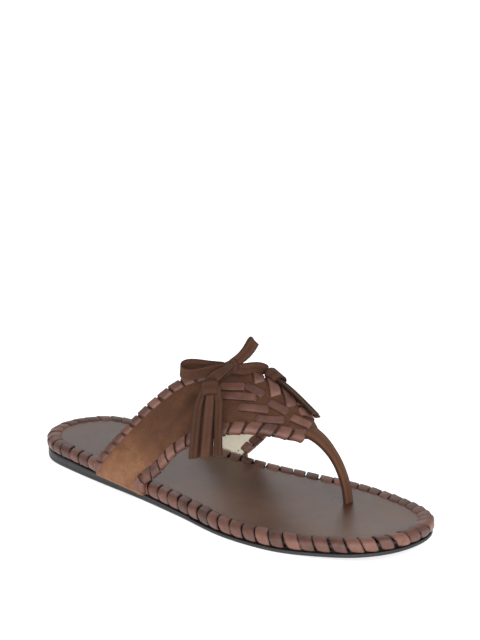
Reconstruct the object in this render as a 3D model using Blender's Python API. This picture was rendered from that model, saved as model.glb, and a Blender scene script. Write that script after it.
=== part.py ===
# Flat thong sandal for a right foot, laced rim, suede upper with a tied bow and two tassels.
# +X to the toe, +Y to the big-toe side, +Z up, origin under the middle of the sole. Metres.
import math
import bpy
import bmesh
from mathutils import Vector

MM = 0.001
LENGTH = 255.0            # heel to toe
HALF = LENGTH / 2.0
SIDE_SHIFT = 1.72         # moves the widest outline to equal distances either side of the X axis
SOLE_THICK = 2.1          # rubber outsole at the ball
HEEL_LIFT = 3.5           # extra height of the wedge at the heel
RIM_TOP = 9.3             # top of the laced rim at the ball
RIM_RISE = 2.8            # extra height of the rim at the heel
TOE_SPRING = 6.1          # lift of the toe tip
SPRING_START = 185.0
LACE_THICK = 0.95
LACE_PITCH = 8.2
SUEDE = 1.3
LINING = 0.9
STRAP_THICK = 1.2
THONG_WIDTH = 6.6

# Half widths of the sole at every 15 degrees of a cosine spacing from heel to toe.
INNER_HALF = [0.0, 16.2, 29.3, 32.6, 32.2, 31.4, 33.4, 39.0, 43.1, 38.6, 29.9, 18.2, 3.0]
OUTER_HALF = [0.0, 13.9, 25.2, 29.6, 32.8, 35.7, 40.5, 46.3, 44.5, 36.4, 27.2, 14.0, -3.0]

# Rear and front edges of the upper from the outer base over the instep to the inner base.
REAR_EDGE = [(66.8, -30.3, 21.0), (76.8, -20.6, 36.0), (86.0, -11.9, 48.4), (96.2, -2.0, 59.0),
             (109.0, 9.0, 64.0), (113.0, 14.5, 64.8), (115.0, 21.5, 65.2), (112.5, 29.3, 59.5),
             (102.0, 34.0, 46.0), (85.5, 35.8, 26.0)]
FRONT_EDGE = [(106.5, -34.6, 18.5), (116.3, -28.0, 32.0), (130.5, -18.8, 41.2), (150.5, -6.2, 44.6),
              (171.5, 7.5, 41.4), (176.0, 13.8, 41.3), (171.5, 20.8, 43.5), (156.0, 27.8, 48.0),
              (138.0, 35.0, 41.0), (121.5, 37.5, 21.5)]
OUTER_BASE = (62.5, 103.0)
INNER_BASE = (68.0, 113.0)
THONG_PATH = [(167.0, 14.2, 42.4), (174.0, 14.4, 39.6), (181.4, 15.3, 36.6), (187.5, 16.2, 32.0),
              (192.1, 16.9, 24.9), (195.2, 17.4, 16.0), (196.4, 17.5, 9.0), (196.4, 17.5, 4.9)]
KNOT = (120.5, 9.0, 69.8)


def clear_scene():
    for item in list(bpy.data.objects):
        bpy.data.objects.remove(item, do_unlink=True)


def to_frame(p):
    return Vector(((p[0] - HALF) * MM, (p[1] + SIDE_SHIFT) * MM, p[2] * MM))


def clamp01(v):
    return max(0.0, min(1.0, v))


def smooth(v):
    v = clamp01(v)
    return v * v * (3.0 - 2.0 * v)


def spline(points, u):
    # Catmull-Rom through scalars or vectors, u runs from 0 to len - 1.
    last = len(points) - 1
    u = max(0.0, min(float(last), u))
    i = min(int(u), last - 1)
    f = u - i
    p0 = points[max(0, i - 1)]
    p1 = points[i]
    p2 = points[i + 1]
    p3 = points[min(last, i + 2)]
    a = p1 * 2.0
    b = p2 - p0
    c = p0 * 2.0 - p1 * 5.0 + p2 * 4.0 - p3
    d = p1 * 3.0 - p0 - p2 * 3.0 + p3
    return (a + b * f + c * (f * f) + d * (f * f * f)) * 0.5


def lift(x):
    return TOE_SPRING * clamp01((x - SPRING_START) / (LENGTH - SPRING_START)) ** 2


def sole_top(x):
    return SOLE_THICK + lift(x)


def wedge_top(x):
    return SOLE_THICK + HEEL_LIFT * smooth((170.0 - x) / 150.0) + lift(x)


def rim_top(x):
    return RIM_TOP + RIM_RISE * smooth((170.0 - x) / 150.0) + lift(x)


def outline(a):
    # a runs once round the sole: 0 at the heel, pi at the toe, inner side first.
    a = a % (2.0 * math.pi)
    inner = a <= math.pi
    phi = a if inner else 2.0 * math.pi - a
    u = phi / math.pi * 12.0
    mirrored = [-v for v in OUTER_HALF]
    table = INNER_HALF if inner else mirrored
    other = mirrored if inner else INNER_HALF
    # one more value past each end keeps the curve smooth through heel and toe
    full = [other[1]] + table + [other[-2]]
    y = spline(full, u + 1.0)
    return Vector((HALF * (1.0 - math.cos(phi)), y, 0.0))


def outline_in(a, inset):
    e = 0.004
    t = outline(a + e) - outline(a - e)
    t.normalize()
    n = Vector((t.y, -t.x, 0.0))
    return outline(a) + n * inset


def ring_angles(count, start=0.0):
    # Evenly spaced by arc length round the outline.
    dense = 1440
    pts = [outline(2.0 * math.pi * i / dense) for i in range(dense + 1)]
    run = [0.0]
    for i in range(dense):
        run.append(run[-1] + (pts[i + 1] - pts[i]).length)
    total = run[-1]
    out = []
    j = 0
    for k in range(count):
        want = (start + total * k / count) % total
        if want < run[j]:
            j = 0
        while run[j + 1] < want:
            j += 1
        f = (want - run[j]) / (run[j + 1] - run[j])
        out.append(2.0 * math.pi * (j + f) / dense)
    return out, total


def material(name, colour, rough, metallic=0.0):
    mat = bpy.data.materials.new(name)
    mat.use_nodes = True
    node = mat.node_tree.nodes.get("Principled BSDF")
    node.inputs["Base Color"].default_value = (colour[0], colour[1], colour[2], 1.0)
    node.inputs["Roughness"].default_value = rough
    node.inputs["Metallic"].default_value = metallic
    mat.diffuse_color = (colour[0], colour[1], colour[2], 1.0)
    return mat


def add_object(name, verts, faces, mat, origin=None):
    base = to_frame(origin) if origin else Vector((0.0, 0.0, 0.0))
    mesh = bpy.data.meshes.new(name)
    mesh.from_pydata([to_frame(v) - base for v in verts], [], faces)
    bm = bmesh.new()
    bm.from_mesh(mesh)
    bmesh.ops.remove_doubles(bm, verts=bm.verts, dist=0.000005)
    bmesh.ops.dissolve_degenerate(bm, edges=bm.edges, dist=0.000002)
    bmesh.ops.recalc_face_normals(bm, faces=bm.faces)
    if bm.calc_volume(signed=True) < 0.0:
        bmesh.ops.reverse_faces(bm, faces=bm.faces)
    bm.to_mesh(mesh)
    bm.free()
    mesh.materials.append(mat)
    obj = bpy.data.objects.new(name, mesh)
    obj.location = base
    bpy.context.scene.collection.objects.link(obj)
    return obj


def slab(name, top, low, mat, wrap=False, origin=None):
    # Closed body between two equal grids of points, rows first; wrap joins the last row to the first.
    rows = len(top)
    cols = len(top[0])
    verts = [p for row in top for p in row] + [p for row in low for p in row]
    shift = rows * cols
    faces = []
    span = rows if wrap else rows - 1
    for i in range(span):
        k = (i + 1) % rows
        for j in range(cols - 1):
            a = i * cols + j
            b = k * cols + j
            faces.append((a, b, b + 1, a + 1))
            faces.append((a + shift, a + 1 + shift, b + 1 + shift, b + shift))
        for j in (0, cols - 1):
            a = i * cols + j
            b = k * cols + j
            if j == 0:
                faces.append((a, a + shift, b + shift, b))
            else:
                faces.append((a, b, b + shift, a + shift))
    if not wrap:
        for i in (0, rows - 1):
            for j in range(cols - 1):
                a = i * cols + j
                if i == 0:
                    faces.append((a, a + 1, a + 1 + shift, a + shift))
                else:
                    faces.append((a, a + shift, a + 1 + shift, a + 1))
    return add_object(name, verts, faces, mat, origin)


def plate(name, rings, mat, stations=44):
    # rings: (inset, height function) from the bottom face's rim to the top face's rim.
    verts = []
    faces = []
    count = stations * 2
    for inset, height in rings:
        for i in range(count):
            p = outline_in(2.0 * math.pi * i / count, inset)
            verts.append((p.x, p.y, height(p.x)))
    for r in range(len(rings) - 1):
        for i in range(count):
            k = (i + 1) % count
            a = r * count
            b = (r + 1) * count
            faces.append((a + i, a + k, b + k, b + i))
    top = (len(rings) - 1) * count
    for i in range(stations):
        a = i
        b = i + 1
        c = (count - i - 1) % count
        d = (count - i) % count
        low = [a, b, c, d]
        if i == 0:
            low = [a, b, c]
        if i == stations - 1:
            low = [a, b, d]
        faces.append(tuple(reversed(low)))
        faces.append(tuple(v + top for v in low))
    return add_object(name, verts, faces, mat)


def cut(target, cutter):
    mod = target.modifiers.new("cut", "BOOLEAN")
    mod.operation = "DIFFERENCE"
    mod.solver = "EXACT"
    mod.object = cutter
    cutter.hide_render = True
    cutter.display_type = "WIRE"
    bpy.context.view_layer.update()
    graph = bpy.context.evaluated_depsgraph_get()
    mesh = bpy.data.meshes.new_from_object(target.evaluated_get(graph))
    target.modifiers.remove(mod)
    old = target.data
    target.data = mesh
    bpy.data.meshes.remove(old)


def base_point(x, inner, out, up):
    # A point beside the sole edge at length x: out is the distance outside the outline.
    phi = math.acos(max(-1.0, min(1.0, 1.0 - x / HALF)))
    a = phi if inner else 2.0 * math.pi - phi
    p = outline_in(a, -out)
    return Vector((p.x, p.y, wedge_top(x) + up))


def edge_controls(points, outer_x, inner_x):
    rise = rim_top(outer_x) - wedge_top(outer_x) + 1.0
    first = [base_point(outer_x, False, 1.5, 2.3), base_point(outer_x, False, 1.0, rise)]
    rise = rim_top(inner_x) - wedge_top(inner_x) + 1.0
    last = [base_point(inner_x, True, 1.0, rise), base_point(inner_x, True, 1.5, 2.3)]
    return first + [Vector(p) for p in points] + last


REAR = edge_controls(REAR_EDGE, OUTER_BASE[0], INNER_BASE[0])
FRONT = edge_controls(FRONT_EDGE, OUTER_BASE[1], INNER_BASE[1])
SPAN = len(REAR) - 1


def upper_point(s, t):
    # Middle surface of the upper: s from 0 (outer base) to 1 (inner base), t from rear to front edge.
    u = s * SPAN
    p = spline(REAR, u).lerp(spline(FRONT, u), t)
    crest = math.exp(-((s - 0.538) / 0.144) ** 2)
    p.z += 5.0 * crest * t * (1.0 - t)
    return p


def upper_normal(s, t):
    e = 0.01
    a = upper_point(min(1.0, s + e), t) - upper_point(max(0.0, s - e), t)
    b = upper_point(s, min(1.0, t + e)) - upper_point(s, max(0.0, t - e))
    n = b.cross(a)
    n.normalize()
    return n


def upper_off(s, t, h):
    return upper_point(s, t) + upper_normal(s, t) * h


def base_tab(s, t, h, up, out):
    # Points of the turned-in hem under the rim at either base; s is 0 or 1.
    x = spline(REAR, s * SPAN).lerp(spline(FRONT, s * SPAN), t).x
    return base_point(x, s > 0.5, out, up) + Vector((0.0, 0.0, h))


def build_suede(mat):
    cols = 9
    top = []
    low = []
    steps = 44
    first = [(-5.5, 0.8), (0.0, 0.8)]
    for out, up in first:
        top.append([base_tab(0.0, j / (cols - 1), -0.4, up, out) for j in range(cols)])
        low.append([base_tab(0.0, j / (cols - 1), 0.4, up, out) for j in range(cols)])
    top.append([base_tab(0.0, j / (cols - 1), 0.0, 0.7, 2.4) for j in range(cols)])
    low.append([base_tab(0.0, j / (cols - 1), 0.0, 1.5, 1.4) for j in range(cols)])
    for i in range(steps + 1):
        s = i / steps
        top.append([upper_off(s, j / (cols - 1), 0.15 + SUEDE) for j in range(cols)])
        low.append([upper_off(s, j / (cols - 1), 0.15) for j in range(cols)])
    top.append([base_tab(1.0, j / (cols - 1), 0.0, 0.7, 2.4) for j in range(cols)])
    low.append([base_tab(1.0, j / (cols - 1), 0.0, 1.5, 1.4) for j in range(cols)])
    for out, up in reversed(first):
        top.append([base_tab(1.0, j / (cols - 1), -0.4, up, out) for j in range(cols)])
        low.append([base_tab(1.0, j / (cols - 1), 0.4, up, out) for j in range(cols)])
    return slab("upper_suede", top, low, mat)


def build_lining(mat):
    cols = 7
    steps = 40
    top = []
    low = []
    for i in range(steps + 1):
        s = i / steps
        row = [0.035 + 0.93 * j / (cols - 1) for j in range(cols)]
        top.append([upper_off(s, t, -0.15) for t in row])
        low.append([upper_off(s, t, -0.15 - LINING) for t in row])
    return slab("upper_lining", top, low, mat)


def step_in(s, t, depth):
    # Place on the upper a given distance in from its edge, square to the edge, and that direction.
    e = 0.004
    ps = (upper_point(s + e, t) - upper_point(s - e, t)) / (2.0 * e)
    pt = upper_point(s, 1.0) - upper_point(s, 0.0)
    n = upper_normal(s, t)
    along = ps.normalized()
    d = n.cross(along)
    if d.dot(pt) * (1.0 if t < 0.5 else -1.0) < 0.0:
        d = -d
    d.normalize()
    a = ps.dot(ps)
    b = ps.dot(pt)
    c = pt.dot(pt)
    det = a * c - b * b
    us = d.dot(ps) * depth
    ut = d.dot(pt) * depth
    ds = (us * c - ut * b) / det
    dt = (ut * a - us * b) / det
    return s + ds, clamp01(t + dt), d


def edge_lace(name, t_edge, s0, s1, pitch, slant, mat):
    # A lace wound round one edge of the upper: proud blocks with a groove between them.
    dense = 400
    path = [upper_point(s0 + (s1 - s0) * i / dense, t_edge) for i in range(dense + 1)]
    run = [0.0]
    for i in range(dense):
        run.append(run[-1] + (path[i + 1] - path[i]).length)
    total = run[-1]
    blocks = max(2, int(round(total / pitch)))

    def s_at(dist):
        dist = max(0.0, min(total, dist))
        j = 0
        while j < dense - 1 and run[j + 1] < dist:
            j += 1
        f = (dist - run[j]) / (run[j + 1] - run[j])
        return s0 + (s1 - s0) * (j + f) / dense

    top_h = 0.15 + SUEDE + 0.75
    low_h = -0.15 - LINING - 0.5
    # (distance in from the edge, height, outward part of the thickness, along-edge shift 0..1)
    path_in = [(5.2, top_h, 0.0), (0.0, top_h, 0.2), (-0.75, 1.2, 0.35), (-0.75, -0.8, 0.6),
               (0.3, low_h, 0.8), (4.0, low_h, 1.0)]
    outward = [(0.0, 1.0), (-0.4, 0.9), (-1.0, 0.25), (-1.0, -0.25), (-0.4, -0.85), (0.0, -1.0)]
    outer = []
    inner = []
    step = total / blocks
    for b in range(blocks):
        for part, thick in ((0.03, 0.35), (0.12, LACE_THICK), (0.88, LACE_THICK), (0.97, 0.35)):
            row_out = []
            row_in = []
            for k, (depth, height, shift) in enumerate(path_in):
                s = s_at((b + part) * step + slant * (0.5 - shift) * 1.0)
                s2, t2, d = step_in(s, t_edge, max(depth, 0.0))
                n = upper_normal(s2, t2)
                q = upper_point(s2, t2) + d * min(depth, 0.0) + n * height
                w = d * outward[k][0] + n * outward[k][1]
                row_in.append(q)
                row_out.append(q + w * thick)
            outer.append(row_out)
            inner.append(row_in)
    return slab(name, outer, inner, mat)


def surface_strip(name, a, b, width, mat, lift_by=0.2, thick=0.9, steps=5):
    # A flat strip lying on the suede between two (s, t) places, ends cut square.
    top = []
    low = []
    rest = 0.15 + SUEDE + lift_by
    for i in range(steps + 1):
        f = i / steps
        s = a[0] + (b[0] - a[0]) * f
        t = a[1] + (b[1] - a[1]) * f
        p = upper_point(s, t)
        n = upper_normal(s, t)
        along = upper_point(*b) - upper_point(*a)
        side = n.cross(along)
        side.normalize()
        arch = 0.35 * math.sin(math.pi * f)
        row_t = []
        row_l = []
        for w in (-0.5, 0.5):
            q = p + side * (w * width)
            row_t.append(q + n * (rest + thick + arch))
            row_l.append(q + n * (rest + arch * 0.5))
        row_t.insert(1, (row_t[0] + row_t[1]) * 0.5 + n * 0.25)
        row_l.insert(1, (row_l[0] + row_l[1]) * 0.5)
        top.append(row_t)
        low.append(row_l)
    return slab(name, top, low, mat)


def ribbon(name, points, sides, width, thick, mat, steps=20, wrap=False, origin=None, widths=None):
    # A flat strap along a path; sides gives the width direction at each control point.
    path = [Vector(p) for p in points]
    dirs = [Vector(d).normalized() for d in sides]
    if wrap:
        path = path + [path[0]]
        dirs = dirs + [dirs[0]]
    last = len(path) - 1
    top = []
    low = []
    count = steps if wrap else steps + 1
    for i in range(count):
        u = last * i / steps
        p = spline(path, u)
        ahead = spline(path, min(last, u + 0.05)) - spline(path, max(0.0, u - 0.05))
        ahead.normalize()
        side = spline(dirs, u)
        side = side - ahead * side.dot(ahead)
        side.normalize()
        n = ahead.cross(side)
        w = width
        if widths:
            w = spline(widths, u)
        row_t = []
        row_l = []
        for k in (-0.5, -0.42, 0.42, 0.5):
            h = thick * (0.5 if abs(k) < 0.45 else 0.3)
            row_t.append(p + side * (k * w) + n * h)
            row_l.append(p + side * (k * w) - n * h)
        top.append(row_t)
        low.append(row_l)
    return slab(name, top, low, mat, wrap=wrap, origin=origin)


def build_rim(core_mat, lace_mat):
    # Rolled core: rounded bar all round, then the lace skin wound over it.
    angles, total = ring_angles(104)
    rows = []
    base_rows = []
    for a in angles:
        prof_t = []
        prof_l = []
        for n, f in ((1.9, 0.4), (2.1, 0.8), (2.9, 1.0), (5.4, 1.0), (6.1, 0.8)):
            p = outline_in(a, n)
            lo = wedge_top(p.x) + 2.65
            hi = rim_top(p.x) - 1.4
            prof_t.append(Vector((p.x, p.y, lo + (hi - lo) * f)))
        for n, f in ((2.0, 0.2), (2.6, 0.05), (4.2, 0.0), (5.4, 0.0), (6.1, 0.25)):
            p = outline_in(a, n)
            lo = wedge_top(p.x) + 2.65
            hi = rim_top(p.x) - 1.4
            prof_l.append(Vector((p.x, p.y, lo + (hi - lo) * f)))
        rows.append(prof_t)
        base_rows.append(prof_l)
    slab("rim_core", rows, base_rows, core_mat, wrap=True)
    blocks = int(round(total / LACE_PITCH))
    outer = []
    inner = []
    skin = [(7.05, 0.62, 0.0), (6.6, 1.0, 0.15), (2.4, 1.0, 0.45), (1.2, 0.72, 0.7), (1.2, 0.15, 0.85),
            (2.6, -0.08, 1.0)]
    push = [(0.25, 0.6), (0.35, 1.0), (-0.45, 1.0), (-1.0, 0.35), (-1.0, -0.3), (-0.3, -1.0)]
    parts = ((0.04, 0.3), (0.15, LACE_THICK), (0.88, LACE_THICK))
    marks, total = ring_angles(blocks * 100)
    for b in range(blocks):
        for part, thick in parts:
            row_out = []
            row_in = []
            for k, (n, f, shift) in enumerate(skin):
                place = int(round((b + part) * 100 + (shift - 0.5) * -34)) % (blocks * 100)
                a = marks[place]
                p = outline_in(a, n)
                lo = wedge_top(p.x) + 2.3
                hi = rim_top(p.x) - 0.98
                q = Vector((p.x, p.y, lo + (hi - lo) * f))
                edge = outline_in(a, n - 1.0) - p
                edge.z = 0.0
                edge.normalize()
                w = edge * (-push[k][0]) + Vector((0.0, 0.0, push[k][1]))
                grow = thick
                if k == 5:
                    grow = thick * 0.6
                row_in.append(q)
                row_out.append(q + w * grow)
            outer.append(row_out)
            inner.append(row_in)
    slab("rim_lace", outer, inner, lace_mat, wrap=True)


def slot_cutter(name, centre, size, low, high):
    verts = []
    for z in (low, high):
        for sx, sy in ((-1, -1), (1, -1), (1, 1), (-1, 1)):
            verts.append((centre[0] + sx * size[0] / 2.0, centre[1] + sy * size[1] / 2.0, z))
    faces = [(3, 2, 1, 0), (4, 5, 6, 7), (0, 1, 5, 4), (1, 2, 6, 5), (2, 3, 7, 6), (3, 0, 4, 7)]
    return add_object(name, verts, faces, bpy.data.materials[0])


def build_sole(mats):
    rubber, stack, board, foam, insole = mats
    plate("outsole", [(1.0, lambda x: lift(x)),
                      (0.35, lambda x: lift(x) + 0.6),
                      (0.25, lambda x: sole_top(x) - 0.15),
                      (0.5, lambda x: sole_top(x))], rubber)
    build_wedge(stack)
    filler = plate("sole_filler", [(7.8, lambda x: wedge_top(x) + 0.2),
                                   (7.8, lambda x: wedge_top(x) + 1.4)], stack)
    layer = plate("insole_board", [(7.9, lambda x: wedge_top(x) + 1.65),
                                   (7.9, lambda x: wedge_top(x) + 2.35)], board)
    cushion = plate("foam_pad", [(8.4, lambda x: wedge_top(x) + 2.6),
                                 (8.4, lambda x: rim_top(x) - 2.85)], foam)
    sock = plate("sock_lining", [(7.9, lambda x: rim_top(x) - 2.6),
                                 (7.7, lambda x: rim_top(x) - 2.2),
                                 (8.1, lambda x: rim_top(x) - 1.6)], insole)
    hole = slot_cutter("thong_slot", THONG_PATH[-1], (3.2, THONG_WIDTH + 1.4), 2.3, 30.0)
    for part in (filler, layer, cushion, sock):
        cut(part, hole)
    pocket = slot_cutter("anchor_pocket", THONG_PATH[-1], (11.0, 15.0), 1.0, 3.95)
    cut(filler, pocket)
    bpy.data.objects.remove(hole, do_unlink=True)
    bpy.data.objects.remove(pocket, do_unlink=True)


def build_wedge(mat):
    # Tapered lift between outsole and filler, from the heel forward to a thin front edge.
    front = 136.0
    steps = 34
    rows_t = []
    rows_l = []
    for i in range(steps + 1):
        f = i / steps
        phi_end = math.acos(1.0 - front / HALF)
        a = phi_end * f
        inner = outline_in(a, 0.5)
        outer = outline_in(-a, 0.5)
        row_t = []
        row_l = []
        for k in (0.0, 0.03, 0.5, 0.97, 1.0):
            p = inner.lerp(outer, k)
            edge = 0.3 if k in (0.0, 1.0) else 0.0
            row_t.append(Vector((p.x, p.y, wedge_top(p.x) - edge)))
            row_l.append(Vector((p.x, p.y, sole_top(p.x) + 0.05)))
        rows_t.append(row_t)
        rows_l.append(row_l)
    slab("heel_wedge", rows_t, rows_l, mat)


def build_thong(suede, hidden):
    sides = [(0.15, 1.0, 0.0)] * 3 + [(0.1, 1.0, 0.0)] * 5
    widths = [3.4 * 2.0, 7.4, 6.8, THONG_WIDTH, 6.2, 6.0, 6.2, 6.4]
    ribbon("toe_thong", THONG_PATH, sides, THONG_WIDTH, 1.9, suede, steps=26, widths=widths)
    c = THONG_PATH[-1]
    top = [[Vector((c[0] + x, c[1] + y, 3.65)) for y in (-6.5, 0.0, 6.5)] for x in (-4.5, 0.0, 4.5)]
    low = [[Vector((c[0] + x, c[1] + y, 2.85)) for y in (-6.5, 0.0, 6.5)] for x in (-4.5, 0.0, 4.5)]
    slab("thong_anchor", top, low, hidden)


def teardrop(root, tip, open_dir, open_by, count=9):
    # Loop path from the knot out to a rounded end and back.
    root = Vector(root)
    tip = Vector(tip)
    open_dir = Vector(open_dir).normalized()
    pts = []
    for i in range(count):
        f = i / (count - 1)
        reach = math.sin(math.pi * f) ** 0.75
        swing = math.sin(2.0 * math.pi * f) * open_by
        pts.append(root.lerp(tip, reach) + open_dir * (swing + (0.9 if f < 0.5 else -0.9) * (1.0 - reach)))
    return pts


def build_bow(lace):
    k = Vector(KNOT)
    near_tip = Vector((105.7, -12.6, 71.8))
    far_tip = Vector((126.1, 27.5, 81.6))
    near_dir = (near_tip - k).normalized()
    far_dir = (far_tip - k).normalized()
    flat = Vector((0.0, 0.0, 1.0)).cross(near_dir).normalized()
    up = near_dir.cross(flat).normalized()
    near_root = k + near_dir * 5.0
    pts = teardrop(near_root, near_tip, flat, 4.0, 11)
    ribbon("near_loop", pts, [up] * len(pts), 5.9, STRAP_THICK, lace, steps=34, origin=near_root)
    face = Vector((0.55, -0.75, 0.35)).normalized()
    across = face.cross(far_dir).normalized()
    opening = far_dir.cross(across).normalized()
    far_root = k + far_dir * 5.2
    pts = teardrop(far_root, far_tip, opening, 2.4, 11)
    ribbon("far_loop", pts, [across] * len(pts), 6.0, STRAP_THICK, lace, steps=34, origin=far_root)
    # knot: a short strap wound round the crossing
    ring = []
    sides = []
    axis = (near_dir - far_dir).normalized()
    e1 = axis.cross(Vector((0.0, 0.0, 1.0))).normalized()
    e2 = axis.cross(e1).normalized()
    for i in range(8):
        ang = 2.0 * math.pi * i / 8
        ring.append(k + e1 * (3.3 * math.cos(ang)) + e2 * (2.9 * math.sin(ang)))
        sides.append(axis)
    ribbon("bow_knot", ring, sides, 6.6, 1.5, lace, steps=24, wrap=True)
    return near_root, far_root, near_dir, far_dir


TAIL = {
    "near": {"path": [(125.5, 4.6, 71.3), (124.4, 1.4, 70.2), (122.4, -0.6, 67.9), (120.6, -2.0, 64.9)],
             "tip": (137.7, -33.2, 36.4), "over": (0.31, 0.95)},
    "far": {"path": [(126.8, 15.0, 68.8), (126.4, 20.4, 68.2), (126.2, 25.6, 67.2), (128.4, 29.7, 65.4), (131.6, 30.4, 64.2)],
            "tip": (169.0, 21.0, 51.2), "over": (0.645, 0.75)},
}


def build_tassel(kind, lace, count):
    start = Vector(TAIL[kind]["path"][-1])
    tip = Vector(TAIL[kind]["tip"])
    n = upper_normal(*TAIL[kind]["over"])
    down = (tip - start).normalized()
    reach = (tip - start).length
    n = (n - down * n.dot(down)).normalized()
    side = n.cross(down).normalized()
    path = TAIL[kind]["path"]
    dirs = [side] * len(path)
    ribbon(kind + "_tail", path, dirs, 5.4, STRAP_THICK, lace, steps=14, origin=path[0])
    # head: lace rolled round the top of the strips
    ring = []
    c0 = start + down * 4.6
    for i in range(8):
        ang = 2.0 * math.pi * i / 8
        ring.append(c0 + side * (4.5 * math.cos(ang)) + n * (2.3 * math.sin(ang)))
    ribbon(kind + "_tassel_head", ring, [down] * 8, 6.4, 1.3, lace, steps=20, wrap=True, origin=start)
    for j in range(count):
        layer = j % 2
        across = (j - (count - 1) / 2.0) * 1.75
        begin = start + down * 8.1 + side * across + n * (0.8 if layer else -0.8)
        length = reach - 8.1 - 1.6 * ((j * 2) % 3)
        mid = begin + down * (length * 0.5)
        finish = begin + down * length
        ribbon(kind + "_fringe_%d" % (j + 1), [begin, mid, finish], [side] * 3, 3.1, 1.05, lace,
               steps=6, origin=start)
    return start, down, n, side


CHEVRONS = {
    "chevron_outer_1": ((0.437, 0.24), (0.488, 0.285)),
    "chevron_outer_2": ((0.414, 0.38), (0.472, 0.435)),
    "chevron_outer_3": ((0.419, 0.595), (0.461, 0.620)),
    "chevron_outer_4": ((0.421, 0.788), (0.468, 0.772)),
    "chevron_inner_1": ((0.527, 0.30), (0.542, 0.44)),
    "chevron_inner_2": ((0.520, 0.54), (0.546, 0.69)),
    "chevron_inner_3": ((0.530, 0.77), (0.563, 0.90)),
    "chevron_side_1": ((0.661, 0.20), (0.600, 0.30)),
    "chevron_side_2": ((0.665, 0.38), (0.607, 0.46)),
    "chevron_side_3": ((0.668, 0.545), (0.617, 0.600)),
}


def build_all():
    clear_scene()
    rubber = material("rubber_dark", (0.035, 0.036, 0.040), 0.6)
    stack = material("stack_black", (0.030, 0.030, 0.034), 0.65)
    board = material("board", (0.30, 0.22, 0.15), 0.85)
    foam = material("foam", (0.55, 0.52, 0.45), 0.9)
    insole = material("insole_leather", (0.13, 0.085, 0.066), 0.38)
    core = material("rim_leather", (0.12, 0.058, 0.040), 0.55)
    lace = material("lace_leather", (0.18, 0.078, 0.060), 0.42)
    suede = material("suede_tan", (0.19, 0.087, 0.040), 0.88)
    lining = material("lining_cream", (0.74, 0.68, 0.55), 0.7)
    bow = material("bow_lace", (0.15, 0.068, 0.035), 0.8)
    build_sole((rubber, stack, board, foam, insole))
    build_rim(core, lace)
    build_suede(suede)
    build_lining(lining)
    edge_lace("rear_lace", 0.0, 0.098, 0.906, 8.6, 1.2, lace)
    edge_lace("outer_front_lace", 1.0, 0.098, 0.4365, 8.2, -1.4, lace)
    edge_lace("inner_front_lace", 1.0, 0.637, 0.902, 8.2, -1.4, lace)
    for name, (a, b) in CHEVRONS.items():
        surface_strip(name, a, b, 4.4, lace)
    build_thong(suede, stack)
    build_bow(bow)
    build_tassel("near", bow, 5)
    build_tassel("far", bow, 4)


build_all()
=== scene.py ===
# Looks for the laced thong sandal: leather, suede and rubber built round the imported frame.
import bisect
import math
import random
import bmesh
import bpy
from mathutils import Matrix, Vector, noise


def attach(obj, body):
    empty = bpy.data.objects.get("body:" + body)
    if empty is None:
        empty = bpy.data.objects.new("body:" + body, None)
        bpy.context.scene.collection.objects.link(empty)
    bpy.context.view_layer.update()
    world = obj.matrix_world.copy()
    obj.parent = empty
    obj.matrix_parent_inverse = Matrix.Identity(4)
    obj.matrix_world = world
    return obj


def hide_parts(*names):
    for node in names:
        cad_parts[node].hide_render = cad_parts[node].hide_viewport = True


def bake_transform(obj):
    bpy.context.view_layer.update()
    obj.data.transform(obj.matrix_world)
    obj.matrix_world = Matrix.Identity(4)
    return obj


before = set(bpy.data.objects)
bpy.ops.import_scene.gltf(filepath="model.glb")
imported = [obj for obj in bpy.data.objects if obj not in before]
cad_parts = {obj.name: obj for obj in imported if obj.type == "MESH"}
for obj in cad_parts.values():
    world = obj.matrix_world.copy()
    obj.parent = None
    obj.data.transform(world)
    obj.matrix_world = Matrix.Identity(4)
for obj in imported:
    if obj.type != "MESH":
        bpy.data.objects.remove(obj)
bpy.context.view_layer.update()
ROOT = "sandal"

# Lengths are in millimetres: x from the heel to the toe, y towards the inner side, z up.
MM = 0.001
LENGTH = 255.0
HALF = LENGTH / 2.0
SIDE_SHIFT = 1.72  # centres the outline in the frame
SOLE_THICK = 2.1
HEEL_LIFT = 3.5
RIM_TOP = 9.3
RIM_RISE = 2.8
RISE_START = 170.0
RISE_RUN = 150.0
TOE_SPRING = 6.1
SPRING_START = 185.0
SUEDE = 1.3
LINING = 0.9
SEAM = 0.15  # from the middle surface of the upper to the inside of either layer
LACE_THICK = 0.95
BOW_THICK = 1.2
THONG_FOOT = (196.4, 17.5)
WHITE = (1.0, 1.0, 1.0, 1.0)

# Half widths of the sole from heel to toe, at even steps of angle (see outline).
INNER_HALF = [0.0, 16.2, 29.3, 32.6, 32.2, 31.4, 33.4, 39.0, 43.1, 38.6, 29.9, 18.2, 3.0]
OUTER_HALF = [0.0, 13.9, 25.2, 29.6, 32.8, 35.7, 40.5, 46.3, 44.5, 36.4, 27.2, 14.0, -3.0]
# Edges of the upper, from the outer leg over the vamp to the inner leg.
REAR_EDGE = [(66.8, -30.3, 21.0), (76.8, -20.6, 36.0), (86.0, -11.9, 48.4), (96.2, -2.0, 59.0),
             (109.0, 9.0, 64.0), (113.0, 14.5, 64.8), (115.0, 21.5, 65.2), (112.5, 29.3, 59.5),
             (102.0, 34.0, 46.0), (85.5, 35.8, 26.0)]
FRONT_EDGE = [(106.5, -34.6, 18.5), (116.3, -28.0, 32.0), (130.5, -18.8, 41.2), (150.5, -6.2, 44.6),
              (171.5, 7.5, 41.4), (176.0, 13.8, 41.3), (171.5, 20.8, 43.5), (156.0, 27.8, 48.0),
              (138.0, 35.0, 41.0), (121.5, 37.5, 21.5)]
# Where the rear and the front edge of each leg meet the sole, as x.
OUTER_BASE = (62.5, 99.3)
INNER_BASE = (68.0, 113.0)
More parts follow.
